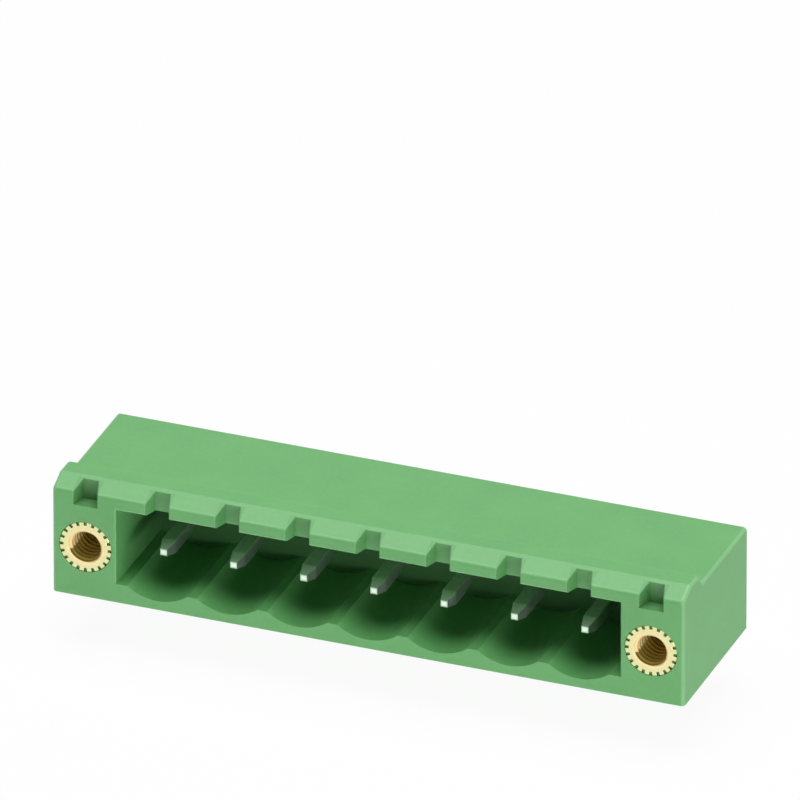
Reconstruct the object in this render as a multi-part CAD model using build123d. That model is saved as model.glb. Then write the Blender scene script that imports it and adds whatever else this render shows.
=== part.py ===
from build123d import *
from math import atan2, degrees
import os

# Pin header for a circuit board, with a threaded flange at each end.
# Millimetres. X runs along the row of pins, the plug goes in along +Y from the
# front, and Z points up from the board. The origin is the middle of the
# underside, which stands on the board.

# Row of poles
pole_count = 7
pitch = 5.08
flange_pitch = 5.21        # from an end pole to the insert beside it
flange_end = 2.41          # from an insert to the end of the housing

# Outline of the housing, seen from its end
housing_depth = 12.0
top_height = 7.7           # flat top behind the ridge
ridge_rise = 0.9           # crown of the ridge above the flat top
bevel_depth = 1.45         # bevel from the front face up to the crown
bevel_drop = 0.66
crown_width = 1.35
ramp_depth = 0.8           # slope from the crown down to the flat top
corner_round = 0.3         # edges of the crown
brow_round = 0.4           # edge between the front face and the bevel
end_round = 0.3            # edges round the two ends
rear_round = 0.08

# Socket for the plug
top_wall = 0.7
floor_wall = 0.67          # under the lowest line of each scallop
scallop_radius = 3.65
scallop_rise = 0.73        # from the lowest line up to the land between scallops
back_wall = 1.2
insert_wall = 0.31         # between the socket and an insert
mouth_round = 0.15
lip_lead_in = 0.18

# Coding notches in the ridge, wider at the front than at the back
notch_mouth = 1.75
notch_back = 1.05
notch_depth = 1.1
notch_round = 0.1
flange_notch_floor = 6.92  # height at which the two blind notches in the flanges end

# Pins
axis_height = 3.8          # level legs of the pins, and the inserts
pin_size = 1.0
pin_edge_break = 0.06
pin_tip_setback = 1.23     # from the front face to the end of the pin
pin_tip_size = 0.5
pin_tip_length = 1.0
pin_bend_radius = 1.0      # at the middle of the pin
pin_row_inset = 2.0        # from the rear face to the upright legs
pin_gap = 0.01
solder_length = 3.9        # below the board face
solder_tip_size = 0.55
solder_tip_length = 0.8

# Slots at the rear for the upright legs
slot_width = 1.6
slot_headroom = 1.25       # above the level leg
slot_round = 0.3

# Threaded inserts, M2.5
insert_radius = 1.88       # over the knurl
insert_bore_radius = 1.05
insert_length = 6.0
insert_gap = 0.02
knurl_count = 20
knurl_groove_width = 0.22
knurl_groove_depth = 0.26
insert_lead_in = 0.25      # chamfer at the end that is pressed in first
thread_lead_in = 0.2       # chamfer at the mouth of the thread
knurl_rib_setback = 0.15   # from the front face to the plastic in the grooves
screw_relief_radius = 1.35
screw_relief_depth = 1.2

# Pilot holes for screws that come up through the board
board_screw_radius = 0.9
board_screw_depth = 5.0
board_screw_web = 0.9      # behind the room for the end of a flange screw
board_screw_lead_in = 0.25

# Places nearer than this are one place
same_place = 1e-6

# Places that follow from the sizes
front_y = -housing_depth / 2
back_y = housing_depth / 2
crown_height = top_height + ridge_rise
ceiling_height = top_height - top_wall
land_height = floor_wall + scallop_rise
pole_x = [pitch * (pole - (pole_count - 1) / 2) for pole in range(pole_count)]
insert_x = [pole_x[0] - flange_pitch, pole_x[-1] + flange_pitch]
half_length = insert_x[1] + flange_end
seat_radius = insert_radius + insert_gap
socket_half_length = insert_x[1] - seat_radius - insert_wall
pin_row_y = back_y - pin_row_inset
slot_front_y = pin_row_y - pin_size / 2 - pin_gap
socket_depth = slot_front_y - back_wall - front_y
slot_height = axis_height + pin_size / 2 + slot_headroom
board_screw_y = (front_y + insert_length + screw_relief_depth
                 + board_screw_web + board_screw_radius)
front_plane = Plane.XZ.offset(-front_y)


def housing_block():
    """Outside of the housing: its end outline, drawn out along the row."""
    crown_front_y = front_y + bevel_depth
    crown_back_y = crown_front_y + crown_width
    ramp_end_y = crown_back_y + ramp_depth
    outline = Polyline(
        (0, front_y, 0),
        (0, front_y, crown_height - bevel_drop),
        (0, crown_front_y, crown_height),
        (0, crown_back_y, crown_height),
        (0, ramp_end_y, top_height),
        (0, back_y, top_height),
        (0, back_y, 0),
        close=True,
    )
    face = make_face(outline)
    upper = face.vertices().filter_by(lambda v: v.Z > ceiling_height).sort_by(Axis.Y)
    brow = upper[0]
    face = fillet(upper[1:-1], corner_round)
    face = fillet(face.vertices().sort_by_distance(brow)[0], brow_round)
    block = extrude(face, amount=half_length, dir=(1, 0, 0), both=True)
    end_edges = block.edges().filter_by(
        lambda e: abs(abs(e.center().X) - half_length) < same_place
        and e.center().Z > same_place
        and e.center().Y < back_y - same_place
    )
    block = fillet(end_edges, end_round)
    rear_edges = block.faces().sort_by(Axis.Y)[-1].edges().filter_by(
        lambda e: e.center().Z > same_place
    )
    return fillet(rear_edges, rear_round)


def socket():
    """Room for the plug: flat ceiling and ends, one scallop under each pole."""
    width = 2 * socket_half_length
    upper_height = ceiling_height - land_height
    upper = Pos(0, land_height) * Rectangle(width, upper_height, align=(Align.CENTER, Align.MIN))
    whole = Rectangle(width, ceiling_height, align=(Align.CENTER, Align.MIN))
    scallop = Circle(scallop_radius)
    centres = [Pos(x, floor_wall + scallop_radius) for x in pole_x]
    section = upper + [whole & (centre * scallop) for centre in centres]
    return extrude(front_plane * section, amount=-socket_depth)


def coding_notch(floor_height):
    """Notch down into the ridge as far as that height."""
    plan = Polygon(
        (-notch_mouth / 2, front_y),
        (notch_mouth / 2, front_y),
        (notch_back / 2, front_y + notch_depth),
        (-notch_back / 2, front_y + notch_depth),
        align=None,
    )
    return extrude(Pos(0, 0, floor_height) * plan, amount=crown_height - floor_height)


def pin_route():
    """Middle line of a pin, from behind its tip to above its solder tip."""
    return FilletPolyline(
        (0, front_y + pin_tip_setback + pin_tip_length, axis_height),
        (0, pin_row_y, axis_height),
        (0, pin_row_y, solder_tip_length - solder_length),
        radius=pin_bend_radius,
    )


def pin_passage():
    """Room that a pin takes in the back wall and round its bend."""
    route = pin_route()
    side = pin_size + 2 * pin_gap
    return sweep(Plane(route @ 0, z_dir=route % 0) * Rectangle(side, side), path=route)


def rear_slot():
    """Slot for the upright leg, open to the rear and to the board."""
    section = Rectangle(slot_width, slot_height, align=(Align.CENTER, Align.MIN))
    section = fillet(section.vertices().group_by(Axis.Y)[-1], slot_round)
    return extrude(Plane.XZ.offset(-back_y) * section, amount=back_y - slot_front_y)


def insert_seat():
    """Blind hole for an insert: ribs pressed into its knurl, and a screw relief."""
    rib = Rectangle(
        seat_radius - insert_radius + knurl_groove_depth,
        knurl_groove_width - 2 * insert_gap,
        align=(Align.MAX, Align.CENTER),
    )
    wall = Circle(seat_radius)
    grip = wall - [place * rib for place in PolarLocations(seat_radius, knurl_count)]
    mouth = extrude(wall, amount=-knurl_rib_setback)
    relief_depth = insert_length + screw_relief_depth
    relief = extrude(Circle(screw_relief_radius), amount=-relief_depth)
    seat = mouth + extrude(grip, amount=-insert_length) + relief
    return front_plane * Pos(0, axis_height, 0) * seat


def board_screw_hole():
    """Pilot hole up from the underside, with a lead-in for the screw."""
    hole = extrude(Circle(board_screw_radius), amount=board_screw_depth)
    mouth_radius = board_screw_radius + board_screw_lead_in
    lead_in = Cone(
        mouth_radius,
        board_screw_radius,
        board_screw_lead_in,
        align=(Align.CENTER, Align.CENTER, Align.MIN),
    )
    return Pos(0, board_screw_y, 0) * (hole + lead_in)


def front_edges(body, axis):
    """Straight edges of the front face that run along the axis."""
    return body.edges().filter_by(axis).filter_by(
        lambda e: abs(e.center().Y - front_y) < same_place
    )


def housing():
    """The moulding: the block, all that is cut out of it, and its rounded openings."""
    body = housing_block() - socket()
    lip = front_edges(body, Axis.X).filter_by(
        lambda e: abs(e.center().Z - ceiling_height) < same_place
    )
    body = chamfer(lip, lip_lead_in)
    body -= [Pos(x, 0, 0) * coding_notch(ceiling_height) for x in pole_x]
    body -= [Pos(x, 0, 0) * coding_notch(flange_notch_floor) for x in insert_x]
    body -= [Pos(x, 0, 0) * rear_slot() for x in pole_x]
    body -= [Pos(x, 0, 0) * pin_passage() for x in pole_x]
    body -= [Pos(x, 0, 0) * insert_seat() for x in insert_x]
    body -= [Pos(x, 0, 0) * board_screw_hole() for x in insert_x]
    mouth_edges = front_edges(body, Axis.Z).filter_by(
        lambda e: e.center().Z < ceiling_height and abs(e.center().X) < insert_x[1]
    )
    body = fillet(mouth_edges, mouth_round)
    notch_edges = front_edges(body, Axis.Z).filter_by(lambda e: e.center().Z > ceiling_height)
    return fillet(notch_edges, notch_round)


def pin():
    """Square pin bent to an L, with a tapered tip at each end."""
    route = pin_route()
    section = Rectangle(pin_size, pin_size)
    section = chamfer(section.vertices(), pin_edge_break)
    body = sweep(Plane(route @ 0, z_dir=route % 0) * section, path=route)
    mating_taper = (pin_size - pin_tip_size) / 2
    solder_taper = (pin_size - solder_tip_size) / 2
    mating_angle = degrees(atan2(mating_taper, pin_tip_length))
    solder_angle = degrees(atan2(solder_taper, solder_tip_length))
    mating_tip = extrude(
        Plane(route @ 0, z_dir=-(route % 0)) * section, amount=pin_tip_length, taper=mating_angle
    )
    solder_tip = extrude(
        Plane(route @ 1, z_dir=route % 1) * section, amount=solder_tip_length, taper=solder_angle
    )
    return body + mating_tip + solder_tip


def threaded_insert():
    """Knurled sleeve, its knurl straight, bored to the thread's crests."""
    knurl = Circle(insert_radius)
    groove = Rectangle(2 * knurl_groove_depth, knurl_groove_width)
    knurl -= [place * groove for place in PolarLocations(insert_radius, knurl_count)]
    sleeve = extrude(knurl, amount=-insert_length)
    blank = extrude(Circle(insert_radius) - Circle(insert_bore_radius), amount=-insert_length)
    mouth_edge = blank.edges().group_by(Axis.Z)[-1].sort_by(SortBy.RADIUS)[0]
    blank = chamfer(mouth_edge, thread_lead_in)
    rear_edge = blank.edges().group_by(Axis.Z)[0].sort_by(SortBy.RADIUS)[-1]
    blank = chamfer(rear_edge, insert_lead_in)
    return front_plane * Pos(0, axis_height, 0) * (sleeve & blank)


def write(part, node):
    """Write one piece under the name of its node."""
    export_step(part, f"parts/{node}.step")


os.makedirs("parts", exist_ok=True)
write(housing(), "housing")
one_pin = pin()
for number, x in enumerate(pole_x, start=1):
    write(Pos(x, 0, 0) * one_pin, f"pin_{number}")
one_insert = threaded_insert()
for side, x in zip(("left", "right"), insert_x):
    write(Pos(x, 0, 0) * one_insert, f"threaded_insert_{side}")
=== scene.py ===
import math

import bmesh
import bpy
from mathutils import Matrix, Vector


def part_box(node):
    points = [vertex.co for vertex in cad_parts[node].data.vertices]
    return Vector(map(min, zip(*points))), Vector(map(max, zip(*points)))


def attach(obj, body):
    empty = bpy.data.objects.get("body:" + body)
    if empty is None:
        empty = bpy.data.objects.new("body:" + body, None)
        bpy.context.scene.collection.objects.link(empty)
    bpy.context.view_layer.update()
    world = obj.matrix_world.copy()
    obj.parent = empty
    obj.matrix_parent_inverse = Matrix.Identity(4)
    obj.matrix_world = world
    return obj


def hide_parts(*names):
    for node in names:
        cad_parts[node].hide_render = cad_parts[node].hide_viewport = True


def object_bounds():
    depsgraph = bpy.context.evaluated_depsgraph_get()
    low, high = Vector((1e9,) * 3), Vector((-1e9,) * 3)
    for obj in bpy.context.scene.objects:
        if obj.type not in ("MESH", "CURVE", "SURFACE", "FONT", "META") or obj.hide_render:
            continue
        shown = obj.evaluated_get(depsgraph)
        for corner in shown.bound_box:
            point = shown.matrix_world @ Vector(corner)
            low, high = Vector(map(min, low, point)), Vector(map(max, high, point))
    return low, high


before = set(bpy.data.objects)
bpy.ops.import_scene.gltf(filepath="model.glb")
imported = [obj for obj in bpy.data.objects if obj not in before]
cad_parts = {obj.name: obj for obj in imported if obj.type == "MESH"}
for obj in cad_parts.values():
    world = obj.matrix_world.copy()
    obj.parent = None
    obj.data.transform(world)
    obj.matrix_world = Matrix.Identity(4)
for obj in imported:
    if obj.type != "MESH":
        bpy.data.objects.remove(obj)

# Pin header: green housing, seven tinned pins, two threaded brass inserts.
# Metres, in the row frame: +X along the row, -Y towards the plug, +Z up.

MM = 0.001
cad_low, cad_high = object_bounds()

# Camera, fitted to the photograph
AZIMUTH = math.radians(21.095)
ELEVATION = math.radians(28.044)
CAMERA_DISTANCE = 2120.7 * MM
CAMERA_SIDE = 2.212 * MM
CAMERA_RISE = 16.775 * MM
CLIP_START = 0.1
CLIP_END = 10.0
SENSOR = 36.0
LENS = 1413.6

# Softboxes: place, width, height and level
SOFTBOXES = {
    "lamp_top": ((0, 0, 0.6), 0.56, 0.56, 1.0),
    "lamp_right": ((0.5, -0.32, 0.04), 0.5, 0.1, 0.34),
}

# Light from the room and the table
AMBIENT = 0.03
STUDIO_WALLS = 0.8             # how bright the room shows in a reflection
TABLE_GLOW = 0.34              # light that a pale table throws up at the part
TABLE_SIDE = 0.12
TABLE_GAP = 0.05 * MM

# Floor
FLOOR_SIZE = 1.4
FLOOR_ALBEDO = 0.92
FLOOR_WHITE = 0.94             # share of the floor's look that is plain white
FLOOR_MIRRORED = 0.35          # how bright the floor behind shows in a reflection
FLOOR_BRIGHT_Y = -10 * MM      # in front of this it shows white in a reflection

# Places on the part
FRONT_Y = -6.0 * MM
POLE_PITCH = 5.08 * MM
INSERT_X = 20.45 * MM
PIN_AXIS_Z = 3.8 * MM
PIN_END_Y = -4.769 * MM
PIN_BEND_Y = (3.0 * MM, 3.5 * MM)

# Rounded edges of the housing, painted a little paler as a highlight
END_EDGE_X = 22.6 * MM
END_EDGE_BLUR = 0.1 * MM
END_FLATNESS = 0.93            # largest part of the normal where an edge is round
END_FLATNESS_BLUR = 0.06
FRONT_EDGE_Y = -5.5 * MM
FRONT_EDGE_BLUR = 0.2 * MM
FRONT_FLATNESS = 0.78
FRONT_FLATNESS_BLUR = 0.1
EDGE_HIGHLIGHT_SHARE = 0.5

# Socket, where shade is painted: the green gets deeper towards the back and on the walls
SOCKET_X = 18.3 * MM
SOCKET_X_BLUR = 0.02 * MM
SOCKET_Z = (0.5 * MM, 6.9 * MM)
SOCKET_Z_BLUR = 0.05 * MM
SOCKET_BACK_Y = 2.5 * MM
SOCKET_BACK_BLUR = 0.3 * MM
SOCKET_SHADE_Y = (-5.2 * MM, -2.6 * MM)
SOCKET_SHADE = 0.25
WALL_TILT = 0.2                # upward part of a wall's normal
WALL_TILT_BLUR = 0.4
WALL_SHADE_Y = (-3.0 * MM, 1.0 * MM)
WALL_SHADE = 0.32

# Coding notches, where shade is painted as deeper green
NOTCH_Z = (6.9 * MM, 8.5 * MM)
NOTCH_Y = (-5.97 * MM, -4.85 * MM)
NOTCH_HALF_WIDTH = 0.9 * MM
NOTCH_BLUR = 0.02 * MM
FLANGE_SHADE_Z = (7.0 * MM, 8.4 * MM)
FLANGE_SHADE = (0.42, 0.15)    # at the floor and at the top of a blind notch
POLE_SHADE = 0.14
POLE_SHADE_X = 16.8 * MM       # just past the last pole's notch
POLE_SHADE_BLUR = 0.2 * MM

# Where a noise starts to count and where it counts in full
EVEN = (0.3, 0.7)
FLECKS = (0.45, 0.8)
FLECK_SHARE = 0.25
SCUFFS = (0.66, 0.8)
SCUFF_SHARE = 0.3
SCUFF_ROUGHNESS = 0.08
TIN_CLOUDS = (0.35, 0.75)
BRASS_CLOUDS = (0.45, 0.85)

# Cut ends of the pins: a painted glint in the middle and painted shade towards their rims
PIN_END_BLUR = 0.003 * MM
PIN_RIM = (0.14 * MM, 0.28 * MM)
PIN_RIM_FLATTENING = 1.2       # how much nearer the rim is above and below

# Brass in the bore: painted light, a paler and warmer colour, on its wall, and painted shade low down
BORE_LIGHT_RADIUS = 1.22 * MM
BORE_LIGHT_BLUR = 0.12 * MM
BORE_LIGHT_SHARE = 0.7
BORE_RADIUS = 1.22 * MM
BORE_BLUR = 0.04 * MM
BORE_ROUGHNESS = 0.4
# painted shade low in the bore, lighter further in and on the crests
BORE_SHADE_HEIGHT = -0.42 * MM
BORE_SHADE_HEIGHT_BLUR = 0.1 * MM
BORE_SHADE_RADIUS = 1.26 * MM
BORE_SHADE_RADIUS_BLUR = 0.02 * MM
BORE_SHADE_DEPTH = (0.05 * MM, 0.15 * MM)
SHADE_LIGHTENING_DEPTH = (0.8 * MM, 3.2 * MM)
SHADE_LIGHTENING_RADIUS = (1.2 * MM, 1.08 * MM)
SHADE_LIGHTENING_SHARE = 0.45          # on the crests of the thread
LEAD_IN_DEPTH = 0.18 * MM
LEAD_IN_BLUR = 0.06 * MM

# Threaded inserts, M2.5
INSERT_NODES = ("threaded_insert_left", "threaded_insert_right")
OUTER_RADIUS = 1.88 * MM
KNURL_COUNT = 20
KNURL_MOUTH = 0.25 * MM
KNURL_FLOOR = 0.19 * MM
KNURL_DEPTH = 0.26 * MM
TOOTH_STEPS = 4
EDGE_BREAK = 0.035 * MM
REAR_CHAMFER = 0.25 * MM
CREST_RADIUS = 1.05 * MM
ROOT_RADIUS = 1.24 * MM
MOUTH_RADIUS = 1.25 * MM
THREAD_PITCH = 0.45 * MM
CREST_FLAT = 0.16 * MM
ROOT_FLAT = 0.06 * MM
THREAD_STEPS = 96              # round one turn
FLANK_STEPS = 5
FLAT_STEPS = 2
TURNS_IN_FRONT = 2             # past the insert, and cut off again
TURNS_BEHIND = 1
SHARP_ANGLE = math.radians(28)
SAME_PLACE = 1e-8
CUT_TOLERANCE = 1e-9

# Sockets of Blender's Mix node when it mixes colours
MIX_SHARE = 0
MIX_FIRST = 6
MIX_SECOND = 7
MIX_RESULT = 2


# Node helpers

def emptied(owner):
    """Node tree of a material or a world, with its first nodes taken out."""
    owner.use_nodes = True
    owner.node_tree.nodes.clear()
    return owner.node_tree


def principled(name):
    """New material with one Principled shader."""
    material = bpy.data.materials.new(name)
    tree = emptied(material)
    output = tree.nodes.new("ShaderNodeOutputMaterial")
    shader = tree.nodes.new("ShaderNodeBsdfPrincipled")
    tree.links.new(shader.outputs["BSDF"], output.inputs["Surface"])
    return material, tree, shader


def put(tree, node_input, value):
    """Sets an input to a number or a vector, or links it to an output."""
    if isinstance(value, bpy.types.NodeSocket):
        tree.links.new(value, node_input)
    else:
        node_input.default_value = value


def rgba(red, green, blue):
    return (red, green, blue, 1.0)


def grey(level):
    return rgba(level, level, level)


def coordinates(tree):
    return tree.nodes.new("ShaderNodeTexCoord").outputs["Object"]


def parts_of(tree, vector):
    """The three parts of a vector."""
    split = tree.nodes.new("ShaderNodeSeparateXYZ")
    put(tree, split.inputs[0], vector)
    return split.outputs["X"], split.outputs["Y"], split.outputs["Z"]


def normal_parts(tree):
    return parts_of(tree, tree.nodes.new("ShaderNodeNewGeometry").outputs["Normal"])


def stretched(tree, place, scale):
    """Coordinates multiplied by a scale along each axis."""
    node = tree.nodes.new("ShaderNodeVectorMath")
    node.operation = "MULTIPLY"
    put(tree, node.inputs[0], place)
    node.inputs[1].default_value = scale
    return node.outputs["Vector"]


def noise(tree, place, size, detail=2.0, roughness=0.5):
    """Noise from 0 to 1 whose features are about that size, in metres."""
    node = tree.nodes.new("ShaderNodeTexNoise")
    put(tree, node.inputs["Vector"], place)
    node.inputs["Scale"].default_value = 1 / size
    node.inputs["Detail"].default_value = detail
    node.inputs["Roughness"].default_value = roughness
    return node.outputs["Fac"]


def calc(tree, operation, a, b=0.0, c=0.0):
    """Result of a Math node."""
    node = tree.nodes.new("ShaderNodeMath")
    node.operation = operation
    put(tree, node.inputs[0], a)
    put(tree, node.inputs[1], b)
    put(tree, node.inputs[2], c)
    return node.outputs["Value"]


def product(tree, first, *others):
    for other in others:
        first = calc(tree, "MULTIPLY", first, other)
    return first


def ranged(tree, value, low, high, start=0.0, end=1.0):
    """Maps low..high to start..end, clamped."""
    node = tree.nodes.new("ShaderNodeMapRange")
    put(tree, node.inputs["Value"], value)
    node.inputs["From Min"].default_value = low
    node.inputs["From Max"].default_value = high
    node.inputs["To Min"].default_value = start
    node.inputs["To Max"].default_value = end
    return node.outputs["Result"]


def above(tree, value, limit, blur):
    """1 over the limit, falling to 0 over the blur before it."""
    return ranged(tree, value, limit - blur, limit)


def below(tree, value, limit, blur):
    """1 under the limit, falling to 0 over the blur past it."""
    return ranged(tree, value, limit + blur, limit)


def between(tree, value, low, high, blur):
    """1 between two limits, falling to 0 over the blur outside them."""
    return product(tree, above(tree, value, low, blur), below(tree, value, high, blur))


def blended(tree, share, first, second):
    """Colour between two colours or colour outputs."""
    node = tree.nodes.new("ShaderNodeMix")
    node.data_type = "RGBA"
    put(tree, node.inputs[MIX_SHARE], share)
    put(tree, node.inputs[MIX_FIRST], first)
    put(tree, node.inputs[MIX_SECOND], second)
    return node.outputs[MIX_RESULT]


def bumped(tree, height, depth, normal=None):
    """Normal of a surface with that relief, on top of another normal if given."""
    node = tree.nodes.new("ShaderNodeBump")
    node.inputs["Distance"].default_value = depth
    node.inputs["Strength"].default_value = 1.0
    put(tree, node.inputs["Height"], height)
    if normal is not None:
        put(tree, node.inputs["Normal"], normal)
    return node.outputs["Normal"]


def mixed(tree, share, first, second):
    """Shader node between two shader nodes."""
    node = tree.nodes.new("ShaderNodeMixShader")
    put(tree, node.inputs[0], share)
    tree.links.new(first.outputs[0], node.inputs[1])
    tree.links.new(second.outputs[0], node.inputs[2])
    return node


def seen_directly(tree):
    """1 for a ray from the camera or through glass."""
    path = tree.nodes.new("ShaderNodeLightPath")
    return calc(tree, "MAXIMUM", path.outputs["Is Camera Ray"], path.outputs["Is Transmission Ray"])


def mirrored(tree):
    """1 for a ray that a glossy surface reflects."""
    return tree.nodes.new("ShaderNodeLightPath").outputs["Is Glossy Ray"]


# Housing

def painted_edge_highlights(tree, place):
    """1 on the rounded edges at the ends and along the front, where a highlight is painted."""
    sides = [calc(tree, "ABSOLUTE", part) for part in normal_parts(tree)]
    flatness = calc(tree, "MAXIMUM", calc(tree, "MAXIMUM", sides[0], sides[1]), sides[2])
    x, y, _ = parts_of(tree, place)
    at_end = product(
        tree,
        above(tree, calc(tree, "ABSOLUTE", x), END_EDGE_X, END_EDGE_BLUR),
        below(tree, flatness, END_FLATNESS, END_FLATNESS_BLUR),
    )
    at_front = product(
        tree,
        below(tree, y, FRONT_EDGE_Y, FRONT_EDGE_BLUR),
        below(tree, flatness, FRONT_FLATNESS, FRONT_FLATNESS_BLUR),
    )
    return calc(tree, "MAXIMUM", at_end, at_front)


def painted_socket_shade(tree, aside, y, z):
    """How much painted shade deepens the green inside the socket."""
    upward = normal_parts(tree)[2]
    on_walls = product(
        tree,
        below(tree, upward, WALL_TILT, WALL_TILT_BLUR),
        ranged(tree, y, *WALL_SHADE_Y, 0, WALL_SHADE),
    )
    inwards = ranged(tree, y, *SOCKET_SHADE_Y, 0, SOCKET_SHADE)
    return product(
        tree,
        below(tree, aside, SOCKET_X, SOCKET_X_BLUR),
        between(tree, z, *SOCKET_Z, SOCKET_Z_BLUR),
        calc(tree, "ADD", on_walls, inwards),
        below(tree, y, SOCKET_BACK_Y, SOCKET_BACK_BLUR),
    )


def painted_notch_shade(tree, aside, y, z):
    """How much painted shade deepens the green in the coding notches."""
    in_ridge = product(
        tree,
        between(tree, z, *NOTCH_Z, NOTCH_BLUR),
        between(tree, y, *NOTCH_Y, NOTCH_BLUR),
    )
    from_insert = calc(tree, "ABSOLUTE", calc(tree, "SUBTRACT", aside, INSERT_X))
    over_flange = product(
        tree,
        in_ridge,
        below(tree, from_insert, NOTCH_HALF_WIDTH, NOTCH_BLUR),
        ranged(tree, z, *FLANGE_SHADE_Z, *FLANGE_SHADE),
    )
    from_pole = calc(tree, "PINGPONG", aside, POLE_PITCH / 2)
    over_pole = product(
        tree,
        in_ridge,
        below(tree, from_pole, NOTCH_HALF_WIDTH, NOTCH_BLUR),
        ranged(tree, aside, POLE_SHADE_X + POLE_SHADE_BLUR, POLE_SHADE_X, 0, POLE_SHADE),
    )
    return calc(tree, "MAXIMUM", over_flange, over_pole)


def housing_colour(tree, place, mottle, scuff):
    """Mottled green with pale flecks, a painted highlight on rounded edges and painted shade in recesses.
    """
    deep = rgba(0.136, 0.412, 0.138)
    usual = rgba(0.152, 0.446, 0.152)
    pale = rgba(0.200, 0.500, 0.200)
    # the last colour is a painted highlight for the rounded edges
    edge_highlight_colour = rgba(0.30, 0.60, 0.30)
    pigment = noise(tree, place, size=0.35 * MM, roughness=0.6)
    colour = blended(tree, ranged(tree, mottle, *EVEN), deep, usual)
    colour = blended(tree, ranged(tree, pigment, *FLECKS, 0, FLECK_SHARE), colour, pale)
    colour = blended(tree, product(tree, scuff, SCUFF_SHARE), colour, pale)
    # painted highlight on the rounded edges
    colour = blended(tree, product(tree, painted_edge_highlights(tree, place), EDGE_HIGHLIGHT_SHARE), colour, edge_highlight_colour)
    x, y, z = parts_of(tree, place)
    aside = calc(tree, "ABSOLUTE", x)
    # painted shade: darker green inside the socket
    in_socket = painted_socket_shade(tree, aside, y, z)
    # painted shade: darker green in the coding notches
    in_notches = painted_notch_shade(tree, aside, y, z)
    # both painted shades darken the colour towards black
    return blended(tree, calc(tree, "MAXIMUM", in_socket, in_notches), colour, grey(0))


def housing_plastic():
    """Moulded green plastic: spark-eroded grain, soft mottling and faint scuffs."""
    material, tree, shader = principled("housing_plastic")
    place = coordinates(tree)
    mottle = noise(tree, place, size=3.5 * MM, detail=3, roughness=0.55)
    grain = noise(tree, place, size=0.09 * MM, roughness=0.6)
    dimple = noise(tree, place, size=0.3 * MM, detail=3)
    scuff_noise = noise(tree, stretched(tree, place, (0.12, 1.0, 1.0)), size=0.22 * MM)
    scuff = ranged(tree, scuff_noise, *SCUFFS)
    put(tree, shader.inputs["Base Color"], housing_colour(tree, place, mottle, scuff))

    roughness = ranged(tree, mottle, *EVEN, start=0.34, end=0.42)
    roughness = calc(tree, "ADD", roughness, ranged(tree, grain, *EVEN, start=-0.04, end=0.04))
    roughness = calc(tree, "ADD", roughness, product(tree, scuff, SCUFF_ROUGHNESS))
    put(tree, shader.inputs["Roughness"], roughness)
    shader.inputs["IOR"].default_value = 1.42
    normal = bumped(tree, dimple, depth=0.008 * MM)
    normal = bumped(tree, grain, depth=0.004 * MM, normal=normal)
    put(tree, shader.inputs["Normal"], normal)
    return material


# Pins

def drawing_lines(tree, place, upright):
    """Fine lines along the level leg of a pin and along its upright leg."""
    level_lines, upright_lines = [
        noise(tree, stretched(tree, place, stretch), size=0.05 * MM, detail=3, roughness=0.6)
        for stretch in ((1, 0.04, 1), (1, 1, 0.04))
    ]
    return blended(tree, upright, level_lines, upright_lines)


def pin_end_glint_and_shade(tree, x, z):
    """Cut end of a pin: a painted glint in the middle and painted shade towards its rim."""
    middle = rgba(0.64, 0.80, 0.64)
    edge = rgba(0.22, 0.30, 0.22)
    aside = calc(tree, "PINGPONG", calc(tree, "ABSOLUTE", x), POLE_PITCH / 2)
    upwards = calc(tree, "ABSOLUTE", calc(tree, "SUBTRACT", z, PIN_AXIS_Z))
    rim = calc(tree, "MAXIMUM", aside, product(tree, upwards, PIN_RIM_FLATTENING))
    return blended(tree, ranged(tree, rim, *PIN_RIM), middle, edge)


def pin_tin():
    """Tinned wire: drawing lines along each leg and a faintly clouded finish."""
    material, tree, shader = principled("pin_tin")
    place = coordinates(tree)
    x, y, z = parts_of(tree, place)
    lines = drawing_lines(tree, place, ranged(tree, y, *PIN_BEND_Y))
    cloud = noise(tree, place, size=0.6 * MM, detail=3, roughness=0.6)

    bright = rgba(0.62, 0.70, 0.63)
    dull = rgba(0.54, 0.60, 0.55)
    colour = blended(tree, ranged(tree, cloud, *TIN_CLOUDS), bright, dull)
    at_end = below(tree, y, PIN_END_Y, PIN_END_BLUR)
    # painted glint and painted rim shade on the cut end
    colour = blended(tree, at_end, colour, pin_end_glint_and_shade(tree, x, z))
    put(tree, shader.inputs["Base Color"], colour)
    shader.inputs["Metallic"].default_value = 1.0
    roughness = ranged(tree, cloud, *EVEN, start=0.38, end=0.5)
    roughness = calc(tree, "ADD", roughness, ranged(tree, lines, *EVEN, start=-0.06, end=0.06))
    put(tree, shader.inputs["Roughness"], roughness)
    put(tree, shader.inputs["Normal"], bumped(tree, lines, depth=0.004 * MM))
    return material


# Brass of the inserts

def distance_from_axis(tree, place):
    """Distance from the insert's own axis, which runs along Y."""
    length = tree.nodes.new("ShaderNodeVectorMath")
    length.operation = "LENGTH"
    put(tree, length.inputs[0], stretched(tree, place, (1, 0, 1)))
    return length.outputs["Value"]


def turning_rings(tree, radius):
    """Noise that changes only with the radius."""
    join = tree.nodes.new("ShaderNodeCombineXYZ")
    put(tree, join.inputs["X"], radius)
    return noise(tree, join.outputs["Vector"], size=0.035 * MM, detail=3, roughness=0.7)


def painted_bore_shade_share(tree, radius, depth, height):
    """1 in the lower part of the bore, where shade is painted."""
    return product(
        tree,
        below(tree, height, BORE_SHADE_HEIGHT, BORE_SHADE_HEIGHT_BLUR),
        below(tree, radius, BORE_SHADE_RADIUS, BORE_SHADE_RADIUS_BLUR),
        ranged(tree, depth, *BORE_SHADE_DEPTH),
    )


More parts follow.
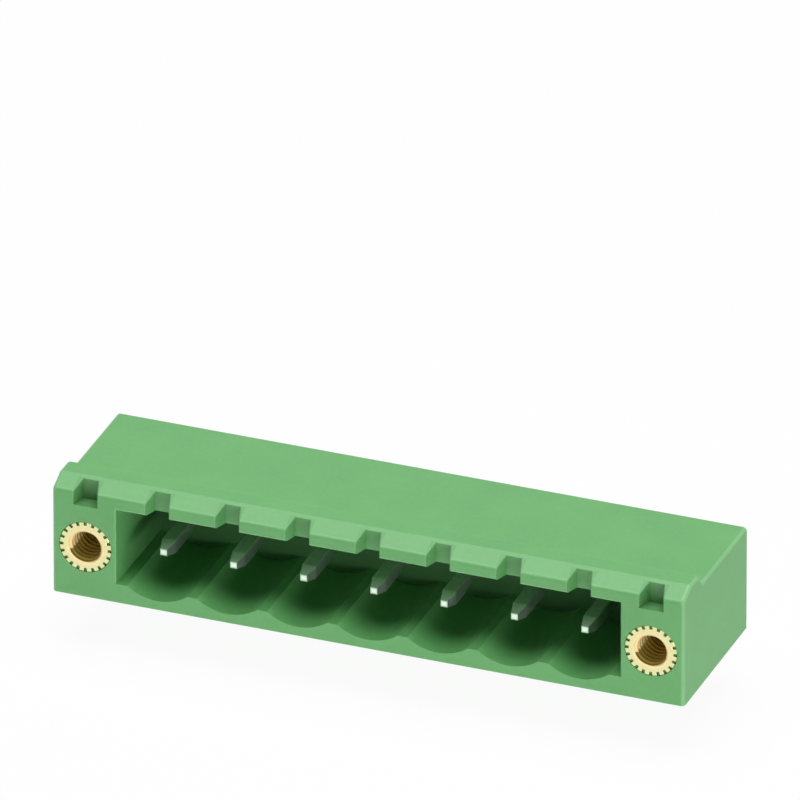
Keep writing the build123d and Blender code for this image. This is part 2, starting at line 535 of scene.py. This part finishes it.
def painted_bore_shade_colour(tree, radius, depth):
    """Painted shade on the brass, lighter further in and on the crests, and darkest at the lead-in."""
    deep_shade = rgba(0.155, 0.115, 0.033)
    light_shade = rgba(0.56, 0.42, 0.08)
    on_crests = ranged(tree, radius, *SHADE_LIGHTENING_RADIUS, 0, SHADE_LIGHTENING_SHARE)
    shade_lightening = calc(tree, "ADD", ranged(tree, depth, *SHADE_LIGHTENING_DEPTH), on_crests)
    colour = blended(tree, shade_lightening, deep_shade, light_shade)
    return blended(tree, below(tree, depth, LEAD_IN_DEPTH, LEAD_IN_BLUR), colour, deep_shade)


def insert_brass():
    """Turned brass: rings, fine scratches, a faint tarnish, painted light on the bore's wall and painted
    shade low in the bore.
    """
    material, tree, shader = principled("insert_brass")
    place = coordinates(tree)
    _, depth, height = parts_of(tree, place)
    radius = distance_from_axis(tree, place)
    rings = turning_rings(tree, radius)
    tarnish = noise(tree, place, size=0.7 * MM, detail=3, roughness=0.6)
    scratch = noise(tree, stretched(tree, place, (1, 0.15, 0.15)), size=0.04 * MM)

    bright = rgba(0.65, 0.62, 0.33)
    warm = rgba(0.63, 0.57, 0.30)
    # the last colour is painted light for the bore's wall
    painted_bore_light = rgba(0.95, 0.74, 0.40)
    colour = blended(tree, ranged(tree, tarnish, *BRASS_CLOUDS), bright, warm)
    # painted light on the bore's wall, inside a radius
    bore_light_share = below(tree, radius, BORE_LIGHT_RADIUS, BORE_LIGHT_BLUR)
    colour = blended(tree, product(tree, bore_light_share, BORE_LIGHT_SHARE), colour, painted_bore_light)
    # painted shade low in the bore
    bore_shade_share = painted_bore_shade_share(tree, radius, depth, height)
    colour = blended(tree, bore_shade_share, colour, painted_bore_shade_colour(tree, radius, depth))
    put(tree, shader.inputs["Base Color"], colour)
    shader.inputs["Metallic"].default_value = 1.0
    roughness = ranged(tree, tarnish, *EVEN, start=0.30, end=0.40)
    roughness = calc(tree, "ADD", roughness, ranged(tree, rings, *EVEN, start=-0.05, end=0.05))
    in_bore = below(tree, radius, BORE_RADIUS, BORE_BLUR)
    roughness = calc(tree, "MULTIPLY_ADD", in_bore, BORE_ROUGHNESS, roughness)
    put(tree, shader.inputs["Roughness"], roughness)
    normal = bumped(tree, rings, depth=0.003 * MM)
    normal = bumped(tree, scratch, depth=0.0015 * MM, normal=normal)
    put(tree, shader.inputs["Normal"], normal)
    return material


# Shape of the inserts

def knurl_outline(shrink):
    """Points (x, z) round the knurl, with shallow grooves between flat teeth."""
    points = []
    turn = 2 * math.pi / KNURL_COUNT
    top = OUTER_RADIUS - shrink
    bottom = OUTER_RADIUS - KNURL_DEPTH - shrink
    half_mouth = math.asin(KNURL_MOUTH / 2 / OUTER_RADIUS)
    half_floor = math.asin(KNURL_FLOOR / 2 / (OUTER_RADIUS - KNURL_DEPTH))
    for number in range(KNURL_COUNT):
        middle = number * turn
        groove = [
            (middle - half_mouth, top),
            (middle - half_floor, bottom),
            (middle, bottom),
            (middle + half_floor, bottom),
            (middle + half_mouth, top),
        ]
        tooth_start = middle + half_mouth
        tooth = turn - 2 * half_mouth
        arc = [(tooth_start + tooth * step / TOOTH_STEPS, top) for step in range(1, TOOTH_STEPS)]
        points += [(radius * math.cos(angle), radius * math.sin(angle)) for angle, radius in groove + arc]
    return points


def flank(start, width, first, last):
    """Places across a flank and the radius at each, from the first to the last."""
    shares = [step / FLANK_STEPS for step in range(FLANK_STEPS)]
    return [(start + width * share, first + (last - first) * share) for share in shares]


def flat(start, width, radius):
    """Places across a crest or a root, all at one radius."""
    return [(start + width * step / FLAT_STEPS, radius) for step in range(FLAT_STEPS)]


def thread_profile():
    """Places along one pitch and the radius at each, from one crest to the next."""
    width = (THREAD_PITCH - CREST_FLAT - ROOT_FLAT) / 2
    root_start = CREST_FLAT + width
    return [
        *flat(0, CREST_FLAT, CREST_RADIUS),
        *flank(CREST_FLAT, width, CREST_RADIUS, ROOT_RADIUS),
        *flat(root_start, ROOT_FLAT, ROOT_RADIUS),
        *flank(root_start + ROOT_FLAT, width, ROOT_RADIUS, CREST_RADIUS),
    ]


def add_thread(mesh, length):
    """Countersunk bore with its thread, on a grid along the helix, past both ends."""
    profile = thread_profile()
    turns = TURNS_IN_FRONT + math.ceil(length / THREAD_PITCH) + TURNS_BEHIND
    rows = []
    for step in range(turns * THREAD_STEPS):
        angle = 2 * math.pi * step / THREAD_STEPS
        start = THREAD_PITCH * (step / THREAD_STEPS - TURNS_IN_FRONT)
        row = []
        for place, radius in profile:
            depth = start + place
            countersunk = max(radius, MOUTH_RADIUS - max(depth, 0))
            point = (countersunk * math.cos(angle), depth, countersunk * math.sin(angle))
            row.append(mesh.verts.new(point))
        rows.append(row)
    for step in range(len(rows) - THREAD_STEPS - 1):
        here = [*rows[step], rows[step + THREAD_STEPS][0]]
        beside = [*rows[step + 1], rows[step + 1 + THREAD_STEPS][0]]
        for corners in zip(here, here[1:], beside[1:], beside):
            mesh.faces.new(corners)


def cut(mesh, depth, outward):
    """Cuts the mesh at that depth and drops what lies on the outward side."""
    bmesh.ops.bisect_plane(
        mesh,
        geom=[*mesh.verts, *mesh.edges, *mesh.faces],
        dist=CUT_TOLERANCE,
        plane_co=(0, depth, 0),
        plane_no=(0, outward, 0),
        clear_outer=True,
    )


def ring_of(mesh, points, depth):
    return [mesh.verts.new((x, depth, z)) for x, z in points]


def bridge(mesh, first, second):
    """Faces between two rings of as many points."""
    count = len(first)
    for i in range(count):
        j = (i + 1) % count
        mesh.faces.new((first[i], first[j], second[j], second[i]))


def fill_end(mesh, depth):
    """Flat face between the bore and the outside at that depth."""
    edges = [
        edge for edge in mesh.edges
        if edge.is_boundary and all(abs(vert.co.y - depth) < SAME_PLACE for vert in edge.verts)
    ]
    bmesh.ops.triangle_fill(mesh, use_beauty=True, edges=edges)


def insert_mesh(length):
    """Insert along +Y from its face at the origin, its axis on the Y axis."""
    mesh = bmesh.new()
    add_thread(mesh, length)
    cut(mesh, 0, -1)
    cut(mesh, length, 1)
    rings = [
        ring_of(mesh, knurl_outline(EDGE_BREAK), 0),
        ring_of(mesh, knurl_outline(0), EDGE_BREAK),
        ring_of(mesh, knurl_outline(0), length - REAR_CHAMFER),
        ring_of(mesh, knurl_outline(REAR_CHAMFER), length),
    ]
    for first, second in zip(rings, rings[1:]):
        bridge(mesh, first, second)
    fill_end(mesh, 0)
    fill_end(mesh, length)
    bmesh.ops.remove_doubles(mesh, verts=mesh.verts, dist=SAME_PLACE)
    bmesh.ops.recalc_face_normals(mesh, faces=mesh.faces)
    for face in mesh.faces:
        face.smooth = True
    for edge in mesh.edges:
        edge.smooth = len(edge.link_faces) == 2 and edge.calc_face_angle(0) < SHARP_ANGLE
    data = bpy.data.meshes.new("threaded_insert")
    mesh.to_mesh(data)
    mesh.free()
    return data


def make_insert(node, brass):
    """Insert with its thread, in place of the CAD node with the plain bore."""
    low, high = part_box(node)
    data = insert_mesh(high.y - low.y)
    data.materials.append(brass)
    piece = bpy.data.objects.new(node + "_with_thread", data)
    bpy.context.scene.collection.objects.link(piece)
    piece.location = ((low.x + high.x) / 2, low.y, (low.z + high.z) / 2)
    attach(piece, "root")
    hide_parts(node)


def dress(node, material):
    """Gives a CAD node its finished material."""
    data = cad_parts[node].data
    for index in range(len(data.materials)):
        data.materials[index] = material


# Studio

def emission(tree, level):
    """Glow that looks as bright as that level of grey."""
    node = tree.nodes.new("ShaderNodeEmission")
    node.inputs["Color"].default_value = grey(level)
    return node


def floor_paper():
    """Pale floor that looks white, keeps a soft shadow, and is clear from below.
    In a reflection it is white in front of the part and dimmer behind."""
    material = bpy.data.materials.new("floor_paper")
    tree = emptied(material)
    lit = tree.nodes.new("ShaderNodeBsdfDiffuse")
    lit.inputs["Color"].default_value = grey(FLOOR_ALBEDO)
    white = emission(tree, 1)
    clear = tree.nodes.new("ShaderNodeBsdfTransparent")
    shown = mixed(tree, FLOOR_WHITE, lit, white)
    y = parts_of(tree, coordinates(tree))[1]
    in_front = ranged(tree, y, 0, FLOOR_BRIGHT_Y)
    reflected = mixed(tree, in_front, emission(tree, FLOOR_MIRRORED), white)
    indirect = mixed(tree, mirrored(tree), lit, reflected)
    paper = mixed(tree, seen_directly(tree), indirect, shown)
    underside = tree.nodes.new("ShaderNodeNewGeometry").outputs["Backfacing"]
    output = tree.nodes.new("ShaderNodeOutputMaterial")
    tree.links.new(mixed(tree, underside, paper, clear).outputs[0], output.inputs["Surface"])
    return material


def make_floor():
    half = FLOOR_SIZE / 2
    data = bpy.data.meshes.new("floor")
    corners = [(-half, -half, 0), (half, -half, 0), (half, half, 0), (-half, half, 0)]
    data.from_pydata(corners, [], [(0, 1, 2, 3)])
    data.materials.append(floor_paper())
    floor = bpy.data.objects.new("floor", data)
    bpy.context.scene.collection.objects.link(floor)
    floor.location = (0, 0, cad_low.z)


def background(tree, strength):
    """White background of that strength."""
    node = tree.nodes.new("ShaderNodeBackground")
    node.inputs["Color"].default_value = grey(1)
    node.inputs["Strength"].default_value = strength
    return node


def make_world():
    """White to the camera, grey in a reflection, and hardly a light."""
    world = bpy.data.worlds.new("studio")
    bpy.context.scene.world = world
    tree = emptied(world)
    light = background(tree, AMBIENT)
    reflected = background(tree, STUDIO_WALLS)
    shown = background(tree, 1.0)
    indirect = mixed(tree, mirrored(tree), light, reflected)
    room = mixed(tree, seen_directly(tree), indirect, shown)
    output = tree.nodes.new("ShaderNodeOutputWorld")
    tree.links.new(room.outputs[0], output.inputs["Surface"])


def make_lamp(name, place, facing, width, height, energy):
    """Area lamp that the camera does not see."""
    data = bpy.data.lights.new(name, "AREA")
    data.shape = "RECTANGLE"
    data.size = width
    data.size_y = height
    data.energy = energy
    lamp = bpy.data.objects.new(name, data)
    bpy.context.scene.collection.objects.link(lamp)
    lamp.location = place
    lamp.rotation_mode = "QUATERNION"
    lamp.rotation_quaternion = facing.to_track_quat("-Z", "Y")
    lamp.visible_camera = False


def make_softbox(name, place, width, height, level):
    """Softbox aimed at the part. At level 1 it lights a white card that faces it
    at the part to full white."""
    place = Vector(place)
    energy = level * math.pi ** 2 * (place.length_squared + width * height / 4)
    make_lamp(name, place, -place, width, height, energy)


def make_table_glow():
    """Light thrown up by the table round the part."""
    place = Vector((0, 0, cad_low.z + TABLE_GAP))
    energy = math.pi * TABLE_SIDE ** 2 * TABLE_GLOW
    make_lamp("table_glow", place, Vector((0, 0, 1)), TABLE_SIDE, TABLE_SIDE, energy)


def make_camera():
    """Camera at the photograph's angle, placed from the middle of the front's foot."""
    side = Vector((math.cos(AZIMUTH), math.sin(AZIMUTH), 0))
    back = Vector((
        math.sin(AZIMUTH) * math.cos(ELEVATION),
        -math.cos(AZIMUTH) * math.cos(ELEVATION),
        math.sin(ELEVATION),
    ))
    up = back.cross(side)
    data = bpy.data.cameras.new("camera")
    data.sensor_width = SENSOR
    data.lens = LENS
    data.clip_start = CLIP_START
    data.clip_end = CLIP_END
    camera = bpy.data.objects.new("camera", data)
    bpy.context.scene.collection.objects.link(camera)
    place = CAMERA_SIDE * side + CAMERA_RISE * up + CAMERA_DISTANCE * back
    place.y += FRONT_Y
    axes = Matrix((side, up, back)).transposed()
    camera.matrix_world = Matrix.Translation(place) @ axes.to_4x4()
    bpy.context.scene.camera = camera


make_camera()
make_floor()
make_world()
for name, softbox in SOFTBOXES.items():
    make_softbox(name, *softbox)
make_table_glow()
dress("housing", housing_plastic())
tin = pin_tin()
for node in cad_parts:
    if node.startswith("pin_"):
        dress(node, tin)
brass = insert_brass()
for node in INSERT_NODES:
    make_insert(node, brass)

bpy.context.scene.view_settings.view_transform = "Standard"
